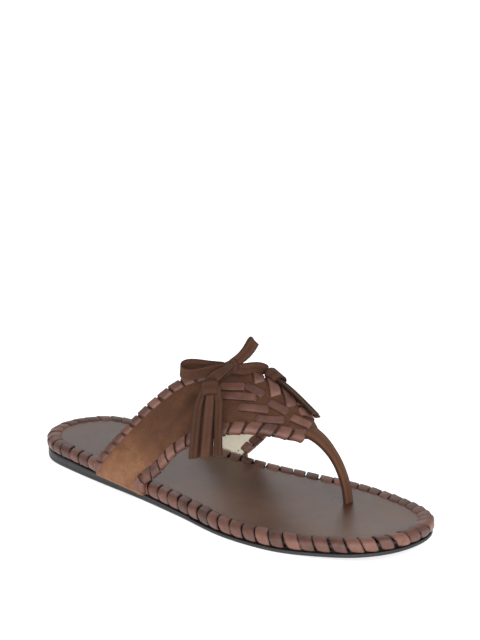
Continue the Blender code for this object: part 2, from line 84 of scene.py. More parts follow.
# Swells of the vamp: place along the arch, spread, height.
CREST = (0.538, 0.144, 5.0)
INNER_SWELL = (0.635, 0.06, 3.4)
KNOT = Vector((120.5, 9.0, 69.8))
UP = Vector((0.0, 0.0, 1.0))
rng = random.Random(7)


def to_frame(p):
    return Vector(((p[0] - HALF) * MM, (p[1] + SIDE_SHIFT) * MM, p[2] * MM))


def clamp01(v):
    return max(0.0, min(1.0, v))


def smooth(v):
    v = clamp01(v)
    return v * v * (3.0 - 2.0 * v)


def spline(points, u):
    last = len(points) - 1
    u = max(0.0, min(float(last), u))
    i = min(int(u), last - 1)
    f = u - i
    p0 = points[max(0, i - 1)]
    p1 = points[i]
    p2 = points[i + 1]
    p3 = points[min(last, i + 2)]
    a = p1 * 2.0
    b = p2 - p0
    c = p0 * 2.0 - p1 * 5.0 + p2 * 4.0 - p3
    d = p1 * 3.0 - p0 - p2 * 3.0 + p3
    return (a + b * f + c * (f * f) + d * (f * f * f)) * 0.5


def run_lengths(pts):
    # Distance along a chain of points, one value for each.
    run = [0.0]
    for a, b in zip(pts, pts[1:]):
        run.append(run[-1] + (b - a).length)
    return run


def resample(points, count):
    # Evenly spaced points along the spline through the given ones.
    pts = [Vector(p) for p in points]
    last = len(pts) - 1
    fine = 240
    dense = [spline(pts, last * i / fine) for i in range(fine + 1)]
    run = run_lengths(dense)
    out = []
    j = 0
    for k in range(count):
        want = run[-1] * k / (count - 1)
        while j < fine - 1 and run[j + 1] < want:
            j += 1
        step = max(1e-9, run[j + 1] - run[j])
        out.append(dense[j].lerp(dense[j + 1], (want - run[j]) / step))
    return out


def lift(x):
    return TOE_SPRING * clamp01((x - SPRING_START) / (LENGTH - SPRING_START)) ** 2


def sole_top(x):
    return SOLE_THICK + lift(x)


def wedge_top(x):
    return SOLE_THICK + HEEL_LIFT * smooth((RISE_START - x) / RISE_RUN) + lift(x)


def rim_top(x):
    return RIM_TOP + RIM_RISE * smooth((RISE_START - x) / RISE_RUN) + lift(x)


def outline(a):
    a = a % (2.0 * math.pi)
    inner = a <= math.pi
    phi = a if inner else 2.0 * math.pi - a
    u = phi / math.pi * 12.0
    mirrored = [-v for v in OUTER_HALF]
    table = INNER_HALF if inner else mirrored
    other = mirrored if inner else INNER_HALF
    full = [other[1]] + table + [other[-2]]
    return Vector((HALF * (1.0 - math.cos(phi)), spline(full, u + 1.0), 0.0))


def outline_dir(a):
    e = 0.004
    t = outline(a + e) - outline(a - e)
    t.normalize()
    return t


def outline_in(a, inset):
    t = outline_dir(a)
    return outline(a) + Vector((t.y, -t.x, 0.0)) * inset


DENSE = 2880
RUN = run_lengths([outline(2.0 * math.pi * i / DENSE) for i in range(DENSE + 1)])
PERIMETER = RUN[-1]


def angle_at(dist):
    # The outline's angle at a distance along it.
    dist = dist % PERIMETER
    i = bisect.bisect_right(RUN, dist) - 1
    f = (dist - RUN[i]) / (RUN[i + 1] - RUN[i])
    return 2.0 * math.pi * (i + f) / DENSE


def base_point(x, inner, out, up):
    phi = math.acos(max(-1.0, min(1.0, 1.0 - x / HALF)))
    a = phi if inner else 2.0 * math.pi - phi
    p = outline_in(a, -out)
    return Vector((p.x, p.y, wedge_top(x) + up))


def edge_controls(points, outer_x, inner_x):
    rise = rim_top(outer_x) - wedge_top(outer_x) + 1.0
    first = [base_point(outer_x, False, 1.5, 2.3), base_point(outer_x, False, 1.0, rise)]
    rise = rim_top(inner_x) - wedge_top(inner_x) + 1.0
    last = [base_point(inner_x, True, 1.0, rise), base_point(inner_x, True, 1.5, 2.3)]
    return first + [Vector(p) for p in points] + last


REAR = edge_controls(REAR_EDGE, OUTER_BASE[0], INNER_BASE[0])
FRONT = edge_controls(FRONT_EDGE, OUTER_BASE[1], INNER_BASE[1])
SPAN = len(REAR) - 1


def upper_point(s, t):
    # s runs from the outer base to the inner base, t from the rear edge to the front edge.
    u = s * SPAN
    p = spline(REAR, u).lerp(spline(FRONT, u), t)
    at, spread, high = CREST
    p.z += high * math.exp(-((s - at) / spread) ** 2) * t * (1.0 - t)
    at, spread, high = INNER_SWELL
    p.z += high * math.exp(-((s - at) / spread) ** 2) * math.sin(math.pi * clamp01(t))
    return p


def upper_normal(s, t):
    e = 0.01
    a = upper_point(min(1.0, s + e), t) - upper_point(max(0.0, s - e), t)
    b = upper_point(s, min(1.0, t + e)) - upper_point(s, max(0.0, t - e))
    n = b.cross(a)
    n.normalize()
    return n


def step_in(s, t, depth):
    # The place depth further in from an edge, with the directions inward and along the edge.
    e = 0.004
    ps = (upper_point(s + e, t) - upper_point(s - e, t)) / (2.0 * e)
    pt = upper_point(s, 1.0) - upper_point(s, 0.0)
    n = upper_normal(s, t)
    along = ps.normalized()
    d = n.cross(along)
    if d.dot(pt) * (1.0 if t < 0.5 else -1.0) < 0.0:
        d = -d
    d.normalize()
    a = ps.dot(ps)
    b = ps.dot(pt)
    c = pt.dot(pt)
    det = a * c - b * b
    us = d.dot(ps) * depth
    ut = d.dot(pt) * depth
    ds = (us * c - ut * b) / det
    dt = (ut * a - us * b) / det
    return s + ds, clamp01(t + dt), d, along


# ---------------------------------------------------------------- mesh making

class Build:
    """Gathers several bodies into one mesh, with tone and edge values for the materials."""

    def __init__(self):
        self.verts = []
        self.faces = []
        self.tone = []
        self.edge = []

    def add(self, p, tone=0.5, edge=0.0):
        self.verts.append(to_frame(p))
        self.tone.append(tone)
        self.edge.append(edge)
        return len(self.verts) - 1

    def loft(self, rings, tone=0.5, edges=None, closed=False):
        # rings: equal closed loops of points, joined one after another.
        count = len(rings[0])
        edges = edges or [0.0] * count
        ids = [[self.add(p, tone, e) for p, e in zip(ring, edges)] for ring in rings]
        span = len(ids) if closed else len(ids) - 1
        for i in range(span):
            a = ids[i]
            b = ids[(i + 1) % len(ids)]
            for k in range(count):
                m = (k + 1) % count
                self.faces.append((a[k], a[m], b[m], b[k]))
        if not closed:
            self.faces.append(tuple(reversed(ids[0])))
            self.faces.append(tuple(ids[-1]))

    def make(self, name, mat, sharp=60.0):
        # Edges bent by more than sharp degrees stay sharp.
        mesh = bpy.data.meshes.new(name)
        mesh.from_pydata([tuple(v) for v in self.verts], [], self.faces)
        for key, values in (("tone", self.tone), ("edge", self.edge)):
            layer = mesh.attributes.new(key, "FLOAT", "POINT")
            layer.data.foreach_set("value", values)
        mesh.materials.append(mat)
        obj = bpy.data.objects.new(name, mesh)
        bpy.context.scene.collection.objects.link(obj)
        fix_normals(mesh)
        mesh.polygons.foreach_set("use_smooth", [True] * len(mesh.polygons))
        if sharp < 180.0:
            mesh.set_sharp_from_angle(angle=math.radians(sharp))
        return obj


def fix_normals(mesh):
    bm = bmesh.new()
    bm.from_mesh(mesh)
    bmesh.ops.recalc_face_normals(bm, faces=bm.faces)
    bm.to_mesh(mesh)
    bm.free()


# Cross-section of a flat lace: rounded cut edges, (across -1..1, height -1..1).
LACE = [(-1.0, 0.0), (-0.985, 0.5), (-0.92, 0.86), (-0.7, 1.0), (-0.35, 1.0), (0.0, 1.0), (0.35, 1.0),
        (0.7, 1.0), (0.92, 0.86), (0.985, 0.5), (1.0, 0.0), (0.985, -0.6), (0.9, -0.95), (0.0, -1.0),
        (-0.9, -0.95), (-0.985, -0.6)]
LACE_EDGE = [1.0, 1.0, 0.85, 0.45, 0.1, 0.0, 0.1, 0.45, 0.85, 1.0, 1.0, 1.0, 0.9, 0.3, 0.9, 1.0]


def lace_ring(p, side, n, width, thick, crown):
    out = []
    for x, y in LACE:
        h = thick * 0.5 * y
        if y > 0.0:
            h += crown * (1.0 - x * x)
        elif y < -0.5:
            h += crown * 0.4 * (1.0 - x * x)
        out.append(p + side * (width * 0.5 * x) + n * h)
    return out


def sweep(build, path, sides, width, thick, tone, crown=0.0, widths=None, thicks=None,
          closed=False, part=None):
    # A flat lace along a path. sides are the directions of its width, widths and thicks are
    # factors along it, and part keeps only some of its rings.
    count = len(path)
    rings = []
    for i in range(count):
        if closed:
            ahead = path[(i + 1) % count] - path[i - 1]
        else:
            ahead = path[min(count - 1, i + 1)] - path[max(0, i - 1)]
        ahead.normalize()
        side = sides[i] - ahead * sides[i].dot(ahead)
        side.normalize()
        n = side.cross(ahead)
        n.normalize()
        f = i / max(1, count - 1)
        w = width * (spline(widths, f * (len(widths) - 1)) if widths else 1.0)
        h = thick * (spline(thicks, f * (len(thicks) - 1)) if thicks else 1.0)
        rings.append(lace_ring(path[i], side, n, w, h, crown))
    if part:
        rings = rings[part[0]:part[1] + 1]
    build.loft(rings, tone, LACE_EDGE, closed)


# ------------------------------------------------------------------ materials

def rgb(r, g, b):
    def lin(c):
        c /= 255.0
        return c / 12.92 if c <= 0.04045 else ((c + 0.055) / 1.055) ** 2.4
    return (lin(r), lin(g), lin(b), 1.0)


class Mat:
    def __init__(self, name):
        self.mat = bpy.data.materials.new(name)
        self.mat.use_nodes = True
        self.tree = self.mat.node_tree
        self.bsdf = self.tree.nodes["Principled BSDF"]
        self.coord = self.tree.nodes.new("ShaderNodeTexCoord").outputs["Object"]

    def node(self, kind, **props):
        n = self.tree.nodes.new(kind)
        for k, v in props.items():
            setattr(n, k, v)
        return n

    def link(self, a, b):
        self.tree.links.new(a, b)

    def put(self, socket, value):
        if hasattr(value, "is_output"):
            self.link(value, socket)
        else:
            socket.default_value = value

    def attr(self, name):
        n = self.node("ShaderNodeAttribute", attribute_name=name)
        return n.outputs["Fac"]

    def stretch(self, x, y, z):
        m = self.node("ShaderNodeMapping")
        self.link(self.coord, m.inputs["Vector"])
        m.inputs["Scale"].default_value = (x, y, z)
        return m.outputs["Vector"]

    def noise(self, scale, detail, rough, vector=None, distortion=0.0):
        n = self.node("ShaderNodeTexNoise")
        self.link(vector or self.coord, n.inputs["Vector"])
        n.inputs["Scale"].default_value = scale
        n.inputs["Detail"].default_value = detail
        n.inputs["Roughness"].default_value = rough
        n.inputs["Distortion"].default_value = distortion
        return n.outputs["Fac"]

    def cells(self, scale):
        n = self.node("ShaderNodeTexVoronoi", feature="DISTANCE_TO_EDGE")
        self.link(self.coord, n.inputs["Vector"])
        n.inputs["Scale"].default_value = scale
        return n.outputs["Distance"]

    def ramp(self, value, stops):
        n = self.node("ShaderNodeValToRGB")
        self.link(value, n.inputs["Fac"])
        els = n.color_ramp.elements
        while len(els) < len(stops):
            els.new(0.5)
        for e, (pos, col) in zip(els, stops):
            e.position = pos
            e.color = col
        return n.outputs["Color"]

    def remap(self, value, a, b, c, d):
        n = self.node("ShaderNodeMapRange")
        self.put(n.inputs["Value"], value)
        for key, v in zip(("From Min", "From Max", "To Min", "To Max"), (a, b, c, d)):
            n.inputs[key].default_value = v
        return n.outputs["Result"]

    def math(self, op, a, b):
        n = self.node("ShaderNodeMath", operation=op)
        self.put(n.inputs[0], a)
        self.put(n.inputs[1], b)
        return n.outputs["Value"]

    def mix(self, fac, a, b):
        # Inputs 6 and 7 and output 2 are the node's colour sockets.
        n = self.node("ShaderNodeMix", data_type="RGBA", blend_type="MIX")
        self.put(n.inputs["Factor"], fac)
        self.put(n.inputs[6], a)
        self.put(n.inputs[7], b)
        return n.outputs[2]

    def bump(self, height, dist, strength, normal=None):
        n = self.node("ShaderNodeBump")
        self.link(height, n.inputs["Height"])
        n.inputs["Distance"].default_value = dist
        n.inputs["Strength"].default_value = strength
        if normal is not None:
            self.link(normal, n.inputs["Normal"])
        return n.outputs["Normal"]

    def finish(self, colour, rough, normal=None, **values):
        self.put(self.bsdf.inputs["Base Color"], colour)
        self.put(self.bsdf.inputs["Roughness"], rough)
        if normal is not None:
            self.link(normal, self.bsdf.inputs["Normal"])
        for key, v in values.items():
            self.bsdf.inputs[key.replace("_", " ")].default_value = v
        return self.mat


PORE = (0.02, 0.01, 0.008, 1.0)


def lace_leather(name, dark, mid, light, edge_tint, rough=0.42):
    m = Mat(name)
    tone = m.attr("tone")
    edge = m.attr("edge")
    cloud = m.noise(170.0, 3.0, 0.6)
    grain = m.noise(1500.0, 4.0, 0.6)
    v = m.math("ADD", m.math("MULTIPLY", tone, 0.55), m.math("MULTIPLY", cloud, 0.55))
    col = m.ramp(v, [(0.30, dark), (0.55, mid), (0.80, light)])
    col = m.mix(m.remap(edge, 0.55, 1.0, 0.0, 0.75), col, edge_tint)
    col = m.mix(m.remap(grain, 0.35, 0.65, 0.0, 0.16), col, PORE)
    mottle = m.math("ADD", grain, m.math("MULTIPLY", cloud, 0.6))
    r = m.remap(mottle, 0.5, 1.1, rough - 0.09, rough + 0.13)
    cell = m.cells(2600.0)
    n1 = m.bump(m.remap(cell, 0.0, 0.25, 0.0, 1.0), 0.00006, 0.5)
    n2 = m.bump(m.noise(520.0, 3.0, 0.5), 0.0003, 0.5, n1)
    return m.finish(col, r, n2, Specular_IOR_Level=0.45, Coat_Weight=0.08, Coat_Roughness=0.35)


def suede(name, dark, mid, light, edge_tint, sheen):
    m = Mat(name)
    cloud = m.noise(38.0, 3.0, 0.6)
    streaks = m.noise(150.0, 4.0, 0.65, m.stretch(1.0, 1.6, 0.7), 0.6)
    nap = m.noise(2600.0, 2.0, 0.6)
    fine = m.noise(900.0, 3.0, 0.7)
    tone = m.attr("tone")
    v = m.math("ADD", m.math("MULTIPLY", cloud, 0.45), m.math("MULTIPLY", streaks, 0.35))
    v = m.math("ADD", v, m.math("MULTIPLY", tone, 0.4))
    col = m.ramp(v, [(0.36, dark), (0.60, mid), (0.84, light)])
    col = m.mix(m.remap(fine, 0.35, 0.68, 0.0, 0.30), col, dark)
    col = m.mix(m.remap(nap, 0.50, 0.75, 0.0, 0.22), col, light)
    # Below a tone of -0.1 the colour turns to a dark painted shadow, as in the streak beside the near
    # tassel.
    painted_shadow_colour = (dark[0] * 0.45, dark[1] * 0.42, dark[2] * 0.42, 1.0)
    col = m.mix(m.remap(tone, -0.5, -0.1, 0.75, 0.0), col, painted_shadow_colour)
    if edge_tint is not None:
        edge = m.attr("edge")
        # Painted highlight: a lighter band on the rounded shoulders next to the edges; the cut edges
        # themselves are darker.
        col = m.mix(m.remap(edge, 0.35, 0.6, 0.0, 0.3), col, light)
        col = m.mix(m.remap(edge, 0.78, 0.98, 0.0, 0.85), col, edge_tint)
    n1 = m.bump(nap, 0.00018, 0.55)
    n2 = m.bump(fine, 0.0003, 0.45, n1)
    n3 = m.bump(streaks, 0.0006, 0.25, n2)
    return m.finish(col, m.remap(fine, 0.3, 0.7, 0.82, 0.97), n3, Specular_IOR_Level=0.18,
                    Sheen_Weight=sheen, Sheen_Roughness=0.55, Sheen_Tint=(0.95, 0.78, 0.62, 1.0))


def insole_leather(name):
    m = Mat(name)
    cloud = m.noise(16.0, 3.0, 0.55)
    patch = m.noise(70.0, 4.0, 0.6)
    grain = m.noise(1300.0, 3.0, 0.6)
    v = m.math("ADD", m.math("MULTIPLY", cloud, 0.6), m.math("MULTIPLY", patch, 0.4))
    col = m.ramp(v, [(0.36, rgb(66, 40, 27)), (0.52, rgb(84, 54, 38)), (0.68, rgb(102, 69, 51))])
    col = m.mix(m.remap(grain, 0.4, 0.7, 0.0, 0.12), col, rgb(60, 42, 33))
    r = m.remap(m.math("ADD", patch, m.math("MULTIPLY", grain, 0.5)), 0.5, 1.0, 0.27, 0.38)
    cell = m.cells(1700.0)
    n1 = m.bump(m.remap(cell, 0.0, 0.22, 0.0, 1.0), 0.00005, 0.45)
    n2 = m.bump(m.noise(60.0, 3.0, 0.5), 0.0006, 0.25, n1)
    return m.finish(col, r, n2, Specular_IOR_Level=0.45, Coat_Weight=0.06, Coat_Roughness=0.25)


def rubber(name, a, b, rough):
    m = Mat(name)
    cloud = m.noise(45.0, 4.0, 0.6)
    speck = m.noise(1900.0, 2.0, 0.6)
    scuff = m.noise(220.0, 5.0, 0.7, m.stretch(0.35, 0.35, 3.0), 0.4)
    col = m.ramp(cloud, [(0.3, a), (0.7, b)])
    col = m.mix(m.remap(scuff, 0.56, 0.78, 0.0, 0.28), col, (b[0] * 1.9, b[1] * 1.9, b[2] * 1.9, 1.0))
    r = m.remap(m.math("ADD", speck, scuff), 0.7, 1.3, rough - 0.08, rough + 0.12)
    n1 = m.bump(speck, 0.0001, 0.5)
    n2 = m.bump(scuff, 0.0002, 0.3, n1)
    return m.finish(col, r, n2, Specular_IOR_Level=0.4)


def plain_board(name, a, b, scale, rough):
    m = Mat(name)
    fibre = m.noise(scale, 5.0, 0.7, m.stretch(0.3, 1.0, 1.0))
    col = m.ramp(fibre, [(0.35, a), (0.65, b)])
    r = m.remap(fibre, 0.3, 0.7, rough - 0.05, rough + 0.05)
    return m.finish(col, r, m.bump(fibre, 0.0002, 0.5))


LACE_MAT = lace_leather("lace_leather", rgb(74, 44, 35), rgb(104, 66, 54), rgb(130, 88, 74),
                        rgb(48, 25, 19))
# Rim core: dark leather, darkened further as painted shade in the gaps between the wraps.
RIM_CORE_AND_GAP_SHADE_MAT = lace_leather("rim_leather", rgb(34, 20, 16), rgb(46, 28, 22), rgb(60, 38, 30),
                       rgb(26, 14, 11), 0.5)
SUEDE_MAT = suede("suede_tan", rgb(76, 46, 31), rgb(106, 69, 48), rgb(146, 104, 74), None, 0.12)
THONG_MAT = suede("suede_thong", rgb(66, 40, 28), rgb(90, 58, 42), rgb(116, 79, 58),
                  rgb(48, 28, 19), 0.1)
BOW_MAT = suede("suede_lace", rgb(50, 29, 21), rgb(72, 45, 33), rgb(98, 65, 49),
                rgb(34, 19, 14), 0.08)
LINING_MAT = suede("lining_cream", rgb(214, 203, 176), rgb(240, 233, 214), rgb(250, 246, 232),
                   None, 0.1)
INSOLE_MAT = insole_leather("insole_leather")
RUBBER_MAT = rubber("rubber_dark", rgb(33, 33, 35), rgb(46, 46, 49), 0.5)
STACK_MAT = rubber("stack_black", rgb(20, 20, 22), rgb(30, 30, 33), 0.6)
BOARD_MAT = plain_board("board", rgb(120, 98, 74), rgb(150, 124, 96), 400.0, 0.85)
FOAM_MAT = plain_board("foam", rgb(190, 184, 168), rgb(215, 210, 196), 900.0, 0.9)


def place(obj, body, slot, *nodes):
    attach(obj, body)
    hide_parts(*nodes)


# ----------------------------------------------------------------------- sole

def ring_body(name, rings, mat, stations=120):
    # A plate with the sole's outline; rings are (inset, height function) from the underside's
    # edge to the upper side's edge.
    b = Build()
    count = stations * 2
    ids = []
    for inset, height in rings:
        row = []
        for i in range(count):
            p = outline_in(2.0 * math.pi * i / count, inset)
            row.append(b.add((p.x, p.y, height(p.x))))
        ids.append(row)
    for r in range(len(ids) - 1):
        for i in range(count):
            k = (i + 1) % count
            b.faces.append((ids[r][i], ids[r][k], ids[r + 1][k], ids[r + 1][i]))
    for row, flip in ((ids[0], True), (ids[-1], False)):
        for i in range(stations):
            q = [row[i], row[i + 1], row[(count - i - 1) % count], row[(count - i) % count]]
            if i == 0:
                q = [row[0], row[1], row[count - 1]]
            if i == stations - 1:
                q = [row[i], row[i + 1], row[count - i]]
            b.faces.append(tuple(reversed(q)) if flip else tuple(q))
    return b.make(name, mat, 40.0)


def build_sole():
    rings = [(1.3, lambda x: lift(x) + 0.02), (0.75, lambda x: lift(x) + 0.14),
             (0.4, lambda x: lift(x) + 0.5), (0.3, lambda x: lift(x) + 1.0),
             (0.25, lambda x: sole_top(x) - 0.35), (0.45, lambda x: sole_top(x) - 0.02)]
    place(ring_body("outsole_rubber", rings, RUBBER_MAT), ROOT, "rubber_dark", "outsole")

    # The wedge's section, as shares of its width and height: a slab with rounded upper edges.
    section = [(0.0, 0.0), (0.5, 0.0), (1.0, 0.0), (1.0, 0.55), (1.0, 0.85), (0.993, 1.0),
               (0.5, 1.0), (0.007, 1.0), (0.0, 0.85), (0.0, 0.55)]
    b = Build()
    wedge_front = 136.0
    phi_end = math.acos(1.0 - wedge_front / HALF)
    rings = []
    steps = 90
    for i in range(steps + 1):
        a = phi_end * (0.012 + 0.988 * i / steps)
        inner = outline_in(a, 0.27)
        outer = outline_in(-a, 0.27)
        ring = []
        for k, z in section:
            p = inner.lerp(outer, k)
            lo = sole_top(p.x) + 0.03
            ring.append(Vector((p.x, p.y, lo + (wedge_top(p.x) - lo) * z)))
        rings.append(ring)
    b.loft(rings)
    wedge = b.make("heel_wedge_rubber", RUBBER_MAT, 40.0)
    place(wedge, ROOT, "stack_black", "heel_wedge")

    inset = 3.2
    rings = [(inset, lambda x: wedge_top(x) - 0.05), (inset, lambda x: wedge_top(x) + 2.6)]
    place(ring_body("recessed_filler", rings, STACK_MAT, 90), ROOT, "stack_black", "sole_filler")


def build_insole():
    # Smooth insole leather: slightly uneven, rolled down under the rim all round, with a dent at
    # the thong.
    b = Build()
    stations = 150
    cols = 40
    inset = 6.0
    below_rim = 1.75

    def height(p, near):
        z = rim_top(p.x) - below_rim
        z += 0.10 * noise.noise(Vector((p.x * 0.03, p.y * 0.05, 0.3)))
        d = Vector(((p.x - THONG_FOOT[0]) / 7.0, (p.y - THONG_FOOT[1]) / 9.0, 0.0)).length
        z -= 0.3 * math.exp(-d * d)
        z -= 0.45 * math.exp(-(near / 1.1) ** 2)
        return z

    rows = []
    for i in range(stations + 1):
        a = math.pi * (0.004 + 0.992 * i / stations)
        p = outline_in(a, inset)
        q = outline_in(-a, inset)
        wide = (q - p).length
        row = []
        for j in range(cols + 1):
            f = j / cols
            f = 0.5 - 0.5 * math.cos(math.pi * f)
            r = p.lerp(q, f)
            ends = min(r.x - inset, LENGTH - inset - r.x)
            near = max(0.0, min(min(f, 1.0 - f) * wide, ends))
            row.append(b.add((r.x, r.y, height(r, near))))
        rows.append(row)
    for i in range(stations):
        for j in range(cols):
            b.faces.append((rows[i][j], rows[i + 1][j], rows[i + 1][j + 1], rows[i][j + 1]))
    top = b.make("insole_cover", INSOLE_MAT, 180.0)
    mod = top.modifiers.new("thickness", "SOLIDIFY")
    mod.thickness = 1.0 * MM
    mod.offset = -1.0
    place(top, ROOT, "insole_leather", "sock_lining")


def squarish(v):
    # Turns the sine or cosine of a circle into that of a rounded square.
    return math.copysign(abs(v) ** 0.75, v)


def build_rim():
    core = Build()
    rings = []
    around = 360
    corners = 14
    for i in range(around):
        a = angle_at(PERIMETER * i / around)
        ring = []
        for k in range(corners):
            ang = 2.0 * math.pi * k / corners
            p = outline_in(a, 4.2 + 2.95 * squarish(math.cos(ang)))
            lo = wedge_top(p.x) + 1.95
            hi = rim_top(p.x) - 1.85
            z = (lo + hi) / 2.0 + (hi - lo) / 2.0 * squarish(math.sin(ang))
            ring.append(Vector((p.x, p.y, z)))
        rings.append(ring)
    core.loft(rings, closed=True)
    obj = core.make("rim_roll", RIM_CORE_AND_GAP_SHADE_MAT, 180.0)
    place(obj, ROOT, "rim_leather", "rim_core")

    wraps = Build()
    blocks = 71
    pitch = PERIMETER / blocks
    # One turn over the rim and then under it, as (distance in from the outline, height); heights
    # are from the rim top in profile and from the wedge top in under.
    profile = [(8.2, -3.2), (7.9, -2.1), (7.35, -1.2), (6.4, -0.72), (5.1, -0.5), (3.8, -0.46),
               (2.5, -0.62), (1.45, -1.1), (0.75, -1.95), (0.5, -3.1)]
    under = [(0.5, 3.2), (0.75, 2.1), (1.6, 1.35), (3.4, 1.2)]
    widths = [0.78, 0.92, 1.0, 1.02, 1.0, 0.99, 1.0, 0.98, 0.88]
    count = 24
    drift = 0.0
    for k in range(blocks):
        drift = 0.6 * drift + rng.uniform(-0.38, 0.38)
        centre = (k + 0.5) * pitch + drift
        tone = rng.uniform(0.15, 0.9)
        slant = 2.9 + rng.uniform(-0.6, 0.6)
        wide = 6.75 + rng.uniform(-0.3, 0.25)
        tall = rng.uniform(-0.08, 0.14)
        pts = []
        total = len(profile) + len(under) - 1
        for i, (n, dz) in enumerate(profile + under):
            f = i / total
            a = angle_at(centre + slant * (0.42 - smooth(f)) * 2.0)
            p = outline_in(a, n)
            z = wedge_top(p.x) + dz if i >= len(profile) else rim_top(p.x) + dz + tall
            pts.append(Vector((p.x, p.y, z)))
        path = resample(pts, count)
        side = [outline_dir(angle_at(centre))] * count
        sweep(wraps, path, side, wide, 1.0, tone, crown=0.42, widths=widths)
    obj = wraps.make("rim_lace_wraps", LACE_MAT)
    place(obj, ROOT, "lace_leather", "rim_lace")


# ---------------------------------------------------------------------- upper

def base_tab(s, t, out, up):
    x = spline(REAR, s * SPAN).lerp(spline(FRONT, s * SPAN), t).x
    return base_point(x, s > 0.5, out, up)


def build_upper():
    cols = 30
    steps = 150
    outer = Build()
    top = []
    low = []

    def ripple(p):
        return 0.22 * noise.noise(p * 0.055) + 0.07 * noise.noise(p * 0.21)

    def tab_rows(s):
        # The foot of a leg: a tab that runs in under the rim.
        rows = [(-5.0, 0.75, 0.35), (-1.0, 0.75, 0.35), (0.7, 0.8, 0.35)]
        for out, up, h in rows:
            top.append([base_tab(s, j / cols, out, up - h) for j in range(cols + 1)])
            low.append([base_tab(s, j / cols, out, up + h) for j in range(cols + 1)])
        top.append([base_tab(s, j / cols, 2.0, 0.62) for j in range(cols + 1)])
        low.append([base_tab(s, j / cols, 1.35, 1.4) for j in range(cols + 1)])
        top.append([base_tab(s, j / cols, 2.65, 1.25) for j in range(cols + 1)])
        low.append([base_tab(s, j / cols, 1.55, 1.75) for j in range(cols + 1)])

    tab_rows(0.0)
    for i in range(steps + 1):
        s = i / steps
        rt = []
        rl = []
        for j in range(cols + 1):
            t = j / cols
            p = upper_point(s, t)
            n = upper_normal(s, t)
            w = ripple(p) * smooth(s * 8.0) * smooth((1.0 - s) * 8.0)
            rt.append(p + n * (SEAM + SUEDE + w))
            rl.append(p + n * SEAM)
        top.append(rt)
        low.append(rl)
    keep_t, keep_l = len(top), len(low)
    tab_rows(1.0)
    top[keep_t:] = list(reversed(top[keep_t:]))
    low[keep_l:] = list(reversed(low[keep_l:]))
    rings = []
    for rt, rl in zip(top, low):
        rings.append(rt + list(reversed(rl)))
    outer.loft(rings, 0.5)
    # Darker up the arch, with a painted shadow of the near tassel: a dark streak on the suede beside
    # it.
    streak0 = to_frame(upper_point(0.365, 0.30))
    streak = to_frame(upper_point(0.215, 0.82)) - streak0
    for i, v in enumerate(outer.verts):
        worn = 0.06 * noise.noise(v / MM * 0.06)
        f = (v - streak0).dot(streak) / streak.length_squared
        off = (v - streak0 - streak * clamp01(f)).length / MM
        # painted shadow of the near tassel, taken off the tone
        streaks = 0.5 * math.exp(-(off / (3.6 - 1.4 * clamp01(f))) ** 2) * (1.0 - 0.5 * clamp01(f))
        outer.tone[i] = 0.95 - 0.98 * smooth((v.z / MM - 9.0) / 38.0) + worn - streaks
    obj = outer.make("upper_suede_shell", SUEDE_MAT, 55.0)
    place(obj, ROOT, "suede_tan", "upper_suede")

    inner = Build()
    rings = []
    steps = 120
    cols = 20
    for i in range(steps + 1):
        s = i / steps
        rt = []
        rl = []
        for j in range(cols + 1):
            t = 0.02 + 0.96 * j / cols
            p = upper_point(s, t)
            n = upper_normal(s, t)
            w = 0.08 * noise.noise(p * 0.09)
            rt.append(p + n * 0.12)
            rl.append(p - n * (SEAM + LINING + w))
        rings.append(rt + list(reversed(rl)))
    inner.loft(rings, 0.5)
    obj = inner.make("upper_lining_sheet", LINING_MAT, 55.0)
    place(obj, ROOT, "lining_cream", "upper_lining")


def edge_wraps(name, node, t_edge, s0, s1, pitch, slant, depth, leg):
    # Lace wound round one edge of the upper, from s0 to s1. pitch is from turn to turn, slant how
    # far a turn leans, depth how far it reaches in, and leg how much closer and shorter the turns
    # are low on the legs than at the crown.
    b = Build()

    def tight(s):
        return leg + (1.0 - leg) * smooth((min(s, 1.0 - s) - 0.2) / 0.14)

    dense = 500
    pts = [upper_point(s0 + (s1 - s0) * i / dense, t_edge) for i in range(dense + 1)]
    run = [0.0]
    for i in range(dense):
        run.append(run[-1] + (pts[i + 1] - pts[i]).length / tight(s0 + (s1 - s0) * i / dense))
    total = run[-1]
    blocks = max(2, int(round(total / pitch)))
    pitch = total / blocks

    def s_at(dist):
        dist = max(0.0, min(total, dist))
        j = 0
        while j < dense - 1 and run[j + 1] < dist:
            j += 1
        return s0 + (s1 - s0) * (j + (dist - run[j]) / (run[j + 1] - run[j])) / dense

    hi = SEAM + SUEDE + 0.55
    lo = -SEAM - LINING - 0.5
    count = 22
    turn = 1.0 if t_edge < 0.5 else -1.0
    for k in range(blocks):
        centre = (k + 0.5) * pitch + rng.uniform(-0.15, 0.15)
        tone = rng.uniform(0.2, 0.85)
        local = tight(s_at(centre))
        wide = pitch * local * 0.83 + rng.uniform(-0.2, 0.15)
        d = depth * (0.35 + 0.65 * local)
        # (distance in from the edge, height), from the outside over the edge to the inside
        ctrl = [(d + 0.35, hi - 1.9), (d + 0.1, hi - 0.75), (d - 0.7, hi + 0.02), (d * 0.5, hi + 0.12),
                (0.7, hi + 0.02), (-0.65, hi - 0.75), (-0.95, 0.1), (-0.65, lo + 0.75), (0.6, lo),
                (2.0, lo - 0.08), (d - 0.9, lo + 0.05), (d - 0.2, lo + 1.0)]
        path = []
        sides = []
        last = len(ctrl) - 1
        skew = slant + rng.uniform(-0.4, 0.4)
        for i, (d_in, h) in enumerate(ctrl):
            f = i / last
            shift = skew * (0.45 - f) * 2.0
            s = s_at(centre + shift)
            s2, t2, d, along = step_in(s, t_edge, max(d_in, 0.0))
            n = upper_normal(s2, t2)
            path.append(upper_point(s2, t2) + d * min(d_in, 0.0) + n * h)
            sides.append(along)
        fine = resample(path, count)
        side = [spline(sides, i / (count - 1) * last).normalized() * turn for i in range(count)]
        sweep(b, fine, side, wide, LACE_THICK, tone, crown=0.2,
              widths=[0.86, 1.0, 1.0, 1.0, 1.0, 0.97, 0.9])
    obj = b.make(name, LACE_MAT)
    place(obj, ROOT, "lace_leather", node)


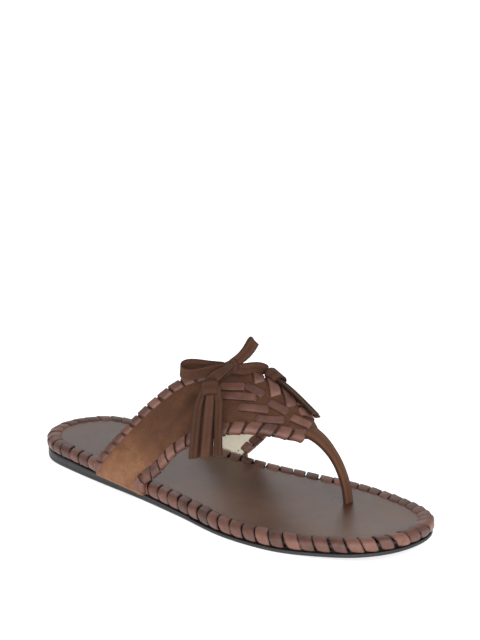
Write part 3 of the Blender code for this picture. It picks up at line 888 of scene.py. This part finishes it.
# Strips on the vamp: start (s, t), end (s, t), width.
CHEVRONS = {
    "chevron_outer_1": ((0.427, 0.235), (0.499, 0.295), 5.2),
    "chevron_outer_2": ((0.402, 0.375), (0.487, 0.447), 5.4),
    "chevron_outer_3": ((0.407, 0.588), (0.473, 0.624), 5.6),
    "chevron_outer_4": ((0.411, 0.793), (0.480, 0.768), 5.2),
    "chevron_inner_1": ((0.509, 0.265), (0.544, 0.445), 5.8),
    "chevron_inner_2": ((0.506, 0.515), (0.549, 0.705), 5.8),
    "chevron_inner_3": ((0.527, 0.745), (0.574, 0.925), 5.6),
    "chevron_side_1": ((0.668, 0.19), (0.590, 0.335), 6.2),
    "chevron_side_2": ((0.664, 0.400), (0.584, 0.535), 6.2),
    "chevron_side_3": ((0.665, 0.600), (0.590, 0.705), 6.2),
}


def build_chevrons():
    for name, (a, c, wide) in CHEVRONS.items():
        b = Build()
        path = []
        sides = []
        count = 18
        along = upper_point(*c) - upper_point(*a)
        for i in range(count):
            f = i / (count - 1)
            s = a[0] + (c[0] - a[0]) * f
            t = a[1] + (c[1] - a[1]) * f
            p = upper_point(s, t)
            n = upper_normal(s, t)
            ends = min(f, 1.0 - f) * 2.0
            h = SEAM + SUEDE + 0.62 - 1.9 * (1.0 - smooth(ends * 3.6))
            path.append(p + n * h)
            sides.append(along.cross(n).normalized())
        sweep(b, path, sides, wide, LACE_THICK, rng.uniform(0.3, 0.8), crown=0.22)
        obj = b.make(name + "_strip", LACE_MAT)
        place(obj, ROOT, "lace_leather", name)


def build_thong():
    pts = [(164.0, 14.0, 46.6), (169.5, 14.1, 44.9), (174.5, 14.2, 43.2), (179.4, 14.7, 40.9),
           (184.0, 15.4, 37.2), (188.6, 16.1, 31.8), (192.2, 16.8, 25.2), (194.9, 17.3, 17.4),
           (196.2, 17.5, 10.5), (196.6, 17.5, 5.4)]
    count = 60
    path = resample(pts, count)
    b = Build()
    sides = [Vector((0.1, 1.0, 0.02)).normalized()] * count
    sweep(b, path, sides, 6.4, 2.1, 0.45, crown=0.15,
          widths=[2.6, 2.1, 1.65, 1.32, 1.08, 0.98, 0.94, 0.95, 1.0, 1.0],
          thicks=[0.5, 0.7, 0.95, 1.0, 1.0, 1.0, 1.0, 1.0, 1.0, 1.0])
    obj = b.make("toe_thong_strap", THONG_MAT)
    place(obj, ROOT, "suede_tan", "toe_thong")


# ------------------------------------------------------------------------ bow

def build_bow():
    near_tip = Vector((105.7, -12.6, 71.8))
    far_tip = Vector((124.4, 26.0, 81.5))
    near_dir = (near_tip - KNOT).normalized()
    far_dir = (far_tip - KNOT).normalized()
    flat = UP.cross(near_dir).normalized()
    up = near_dir.cross(flat).normalized()
    count = 19
    fine = 60

    # near loop: stands on edge, its two sides bowed apart, the front side sagging
    b = Build()
    root = KNOT + near_dir * 2.6
    pts = []
    for i in range(count):
        f = i / (count - 1)
        reach = math.sin(math.pi * f) ** 0.66
        swing = math.sin(2.0 * math.pi * f)
        p = root.lerp(near_tip, reach)
        p += flat * (swing * 4.2 + (1.0 - reach) * (1.1 if f < 0.5 else -1.1))
        p += UP * (-0.2 - 1.3 * swing - 1.5 * math.sin(math.pi * f) ** 3)
        pts.append(p)
    path = resample(pts, fine)
    tilt = [(up + flat * (0.10 * math.sin(2.0 * math.pi * i / (fine - 1)))).normalized()
            for i in range(fine)]
    sweep(b, path, tilt, 6.4, BOW_THICK, 0.45, crown=0.05)
    place(b.make("bow_near_loop", BOW_MAT), "near_loop", "bow_lace", "near_loop")

    # far loop: seen on its flat, bent slightly upward
    b = Build()
    face = Vector((0.55, -0.75, 0.35)).normalized()
    across = face.cross(far_dir).normalized()
    opening = far_dir.cross(across).normalized()
    root = KNOT + far_dir * 2.8
    pts = []
    for i in range(count):
        f = i / (count - 1)
        reach = math.sin(math.pi * f) ** 0.66
        swing = math.sin(2.0 * math.pi * f) * 2.4
        p = root.lerp(far_tip, reach) + opening * (swing + (1.0 - reach) * (0.8 if f < 0.5 else -0.8))
        p += across * (-1.5 * math.sin(math.pi * reach) + (0.5 if f > 0.5 else -0.4) * reach)
        pts.append(p)
    path = resample(pts, fine)
    sweep(b, path, [across] * fine, 6.1, BOW_THICK, 0.55, crown=0.05,
          widths=[0.82, 0.95, 1.02, 1.02, 1.0, 1.02, 1.02, 0.95, 0.82])
    place(b.make("bow_far_loop", BOW_MAT), "far_loop", "bow_lace", "far_loop")

    # knot: the lace wound round the crossing, with a pinched fold beside it
    b = Build()
    axis = (near_dir - far_dir).normalized()
    e1 = axis.cross(UP).normalized()
    e2 = axis.cross(e1).normalized()
    count = 48
    path = []
    for i in range(count):
        ang = 2.0 * math.pi * i / count
        bump = 1.0 + 0.05 * math.sin(3.0 * ang + 0.8) + 0.03 * math.sin(7.0 * ang)
        path.append(KNOT + e1 * (3.5 * bump * math.cos(ang)) + e2 * (2.8 * bump * math.sin(ang))
                    + axis * (1.3 * math.sin(ang + 0.5)))
    sweep(b, path, [axis] * count, 7.2, 1.4, 0.4, crown=0.35, closed=True)
    path = []
    for i in range(count):
        ang = 2.0 * math.pi * i / count
        path.append(KNOT + e1 * (2.6 * math.cos(ang)) + e2 * (2.1 * math.sin(ang))
                    + axis * (2.4 - 1.5 * math.sin(ang)))
    sweep(b, path, [axis] * count, 5.0, BOW_THICK, 0.55, crown=0.25, closed=True)
    place(b.make("bow_knot_wrap", BOW_MAT), ROOT, "bow_lace", "bow_knot")


# path: the tail from the knot to the tassel. tip: the tassel's end. over: the place (s, t) of the
# upper it hangs over. wide: width of the tail. head: half width, half depth and height of the roll.
# strips: across at the top, across at the end, width, layer height, how much shorter.
TAIL = {
    "near": {"path": [(122.0, 6.9, 72.0), (124.6, 4.0, 71.8), (123.4, 0.8, 70.2), (120.8, -1.8, 67.8),
                      (118.6, -3.6, 65.0)],
             "tip": (139.0, -32.0, 36.0), "over": (0.31, 0.95), "wide": 6.2,
             "head": (3.5, 1.8, 9.4),
             "strips": [(-4.6, -6.6, 4.9, 0.9, 0.4), (-3.6, -4.4, 4.2, -1.4, 2.6),
                        (1.0, 0.4, 5.5, 1.1, 0.0), (0.6, 0.8, 4.4, -1.7, 2.2),
                        (5.6, 6.9, 4.6, -0.6, 1.0)]},
    "far": {"path": [(123.0, 11.2, 69.0), (126.0, 15.4, 68.4), (127.4, 20.6, 67.9), (128.4, 25.6, 66.8),
                     (130.2, 29.0, 65.2), (132.4, 30.2, 63.8)],
            "tip": (168.2, 25.6, 49.2), "over": (0.645, 0.75), "wide": 6.8,
            "head": (4.4, 3.0, 8.8),
            "strips": [(-3.0, -3.0, 4.4, 0.6, 0.0), (-1.0, -1.2, 4.4, -1.0, 2.2),
                       (1.2, 1.0, 4.6, 0.9, 1.0), (3.4, 3.2, 4.4, -0.4, 0.4)]},
}


def build_tassel(kind):
    info = TAIL[kind]
    start = Vector(info["path"][-1])
    tip = Vector(info["tip"])
    n = upper_normal(*info["over"])
    down = (tip - start).normalized()
    reach = (tip - start).length
    n = (n - down * n.dot(down)).normalized()
    side = n.cross(down).normalized()

    pts = [Vector(p) for p in info["path"]]
    pts.append(start + down * 0.9)
    last = 35
    split = 20
    path = resample(pts, last + 1)
    if kind == "near":
        sides = [-side] * (last + 1)
    else:
        upright = (UP + Vector((0.0, 0.35, 0.0))).normalized()
        sides = []
        for i in range(last + 1):
            f = smooth((i / last - 0.70) / 0.3)
            sides.append((upright * (1.0 - f) - side * f).normalized())
    # The tail is one lace in two lengths: the first from the knot, the second on down to the tassel.
    for name, part, pair, bend in (
            ("_tail_lace", (0, split), (ROOT, kind + "_tail"), (2, 13)),
            ("_tail_end", (split, last), (kind + "_tail", kind + "_tassel"), (25, last))):
        b = Build()
        sweep(b, path, sides, info["wide"], 1.15, 0.5, crown=0.05,
              widths=[0.8, 0.98, 1.0, 1.0, 1.0, 1.0], part=part)
        tail = b.make(kind + name, BOW_MAT)
        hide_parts(kind + "_tail")
        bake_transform(tail)

    # head: lace rolled once and a bit round the top of the strips
    wide, deep, tall = info["head"]
    b = Build()
    path = []
    sides = []
    turns = 1.4
    count = 52
    c0 = start + down * (tall * 0.5 + 0.2)
    for i in range(count):
        f = i / (count - 1)
        ang = 2.0 * math.pi * turns * f + 0.9
        r = 1.0 + 0.17 * f
        path.append(c0 + side * (wide * r * math.cos(ang)) + n * (deep * r * math.sin(ang))
                    + down * (0.9 * (f - 0.5)))
        sides.append((down + side * 0.10 * math.sin(ang)).normalized())
    sweep(b, path, sides, tall, LACE_THICK, 0.4, crown=0.12)
    place(b.make(kind + "_tassel_wrap", BOW_MAT), kind + "_tassel", "bow_lace", kind + "_tassel_head")

    count = 28
    for j, (top, end, wide, layer, short) in enumerate(info["strips"]):
        b = Build()
        begin = start + down * (tall * 0.42) + side * (top * 0.62) + n * layer * 0.5
        length = reach - tall * 0.42 - short
        bend = rng.uniform(-0.8, 0.8)
        pts = []
        for i in range(8):
            f = i / 7.0
            p = begin + down * (length * f)
            p += side * (top * 0.38 * smooth(f * 4.0) + (end - top) * f
                         + bend * math.sin(math.pi * f) * 0.6)
            p += n * (layer * (0.5 * smooth(f * 4.0) + 0.25 * f) + 0.4 * math.sin(math.pi * f * 1.2))
            p.z -= 2.0 * f * f * f if kind == "near" else 0.5 * f * f
            pts.append(p)
        path = resample(pts, count)
        twist = rng.uniform(-0.35, 0.35)
        # The last near strip is turned partly on edge.
        roll = -0.55 if kind == "near" and j == 4 else 0.0
        sides = []
        for i in range(count):
            f = i / (count - 1)
            sides.append((side + n * (roll * (1.0 - f) + twist * f)).normalized())
        sweep(b, path, sides, wide, 1.05, rng.uniform(0.15, 0.85), crown=0.06,
              widths=[0.78, 0.95, 1.0, 1.02, 1.05])
        name = "%s_fringe_%d" % (kind, j + 1)
        place(b.make(name + "_strip", BOW_MAT), kind + "_tassel", "bow_lace", name)


def build_foam():
    # Thin pad under the insole leather, its edge rounded where the leather pulls it down.
    rings = [(8.6, lambda x: wedge_top(x) + 2.62), (8.4, lambda x: wedge_top(x) + 2.8),
             (8.5, lambda x: rim_top(x) - 3.2), (8.9, lambda x: rim_top(x) - 2.98),
             (9.7, lambda x: rim_top(x) - 2.88)]
    pad = ring_body("foam_pad_sheet", rings, FOAM_MAT)
    place(pad, ROOT, "foam", "foam_pad")


def dress_hidden():
    # The two CAD nodes that stay as they are get the materials of their slots.
    for node, mat in (("insole_board", BOARD_MAT), ("thong_anchor", STACK_MAT)):
        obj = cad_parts[node]
        for slot in obj.material_slots:
            slot.material = mat


# ---------------------------------------------------------------------- stage

def build_stage():
    mesh = bpy.data.meshes.new("floor")
    z = -0.0002
    mesh.from_pydata([(-6, -6, z), (6, -6, z), (6, 6, z), (-6, 6, z)], [], [(0, 1, 2, 3)])
    floor = bpy.data.objects.new("floor", mesh)
    bpy.context.scene.collection.objects.link(floor)
    m = Mat("floor_white")
    grain = m.noise(6.0, 2.0, 0.5)
    white = m.remap(grain, 0.0, 1.0, 0.90, 0.92)
    floor.data.materials.append(m.finish(white, 0.9, Specular_IOR_Level=0.1, Emission_Color=WHITE,
                                         Emission_Strength=0.65))

    world = bpy.data.worlds.new("studio")
    bpy.context.scene.world = world
    world.use_nodes = True
    tree = world.node_tree
    # One soft strength lights the object; the camera itself sees plain white.
    soft = tree.nodes["Background"]
    seen = tree.nodes.new("ShaderNodeBackground")
    for node, strength in ((soft, 0.55), (seen, 1.0)):
        node.inputs["Color"].default_value = WHITE
        node.inputs["Strength"].default_value = strength
    path = tree.nodes.new("ShaderNodeLightPath")
    both = tree.nodes.new("ShaderNodeMixShader")
    tree.links.new(path.outputs["Is Camera Ray"], both.inputs[0])
    tree.links.new(soft.outputs[0], both.inputs[1])
    tree.links.new(seen.outputs[0], both.inputs[2])
    tree.links.new(both.outputs[0], tree.nodes["World Output"].inputs["Surface"])

    target = Vector((0.0, 0.0, 0.03))

    def area(name, loc, size, energy):
        light = bpy.data.lights.new(name, "AREA")
        light.shape = "RECTANGLE"
        light.size = size[0]
        light.size_y = size[1]
        light.energy = energy
        obj = bpy.data.objects.new(name, light)
        obj.location = loc
        obj.rotation_euler = (target - Vector(loc)).to_track_quat("-Z", "Y").to_euler()
        bpy.context.scene.collection.objects.link(obj)

    area("key", (1.35, -0.55, 0.85), (0.8, 0.8), 10.0)
    area("fill", (0.7, -1.45, 0.34), (1.1, 0.5), 12.0)
    area("back", (-1.3, 1.2, 0.9), (1.6, 0.7), 3.0)

    cam = bpy.data.cameras.new("camera")
    cam.sensor_width = 36.0
    cam.lens = 112.5
    cam.clip_start = 0.01
    cam.clip_end = 50.0
    obj = bpy.data.objects.new("camera", cam)
    # Place and backward direction recovered from the outline of the sole in the photograph.
    obj.location = to_frame((780.05, -777.72, 421.58))
    obj.rotation_euler = Vector((0.60799, -0.73446, 0.30155)).to_track_quat("Z", "Y").to_euler()
    bpy.context.scene.collection.objects.link(obj)
    bpy.context.scene.camera = obj
    bpy.context.scene.view_settings.view_transform = "Standard"


build_stage()
build_sole()
build_foam()
build_insole()
build_rim()
build_upper()
edge_wraps("rear_edge_wraps", "rear_lace", 0.0, 0.004, 0.996, 7.6, 2.6, 4.3, 0.9)
edge_wraps("outer_front_wraps", "outer_front_lace", 1.0, 0.0, 0.478, 8.6, 4.2, 4.7, 0.8)
edge_wraps("inner_front_wraps", "inner_front_lace", 1.0, 0.640, 1.0, 8.6, -3.4, 4.6, 0.8)
build_chevrons()
build_thong()
build_bow()
build_tassel("near")
build_tassel("far")
dress_hidden()
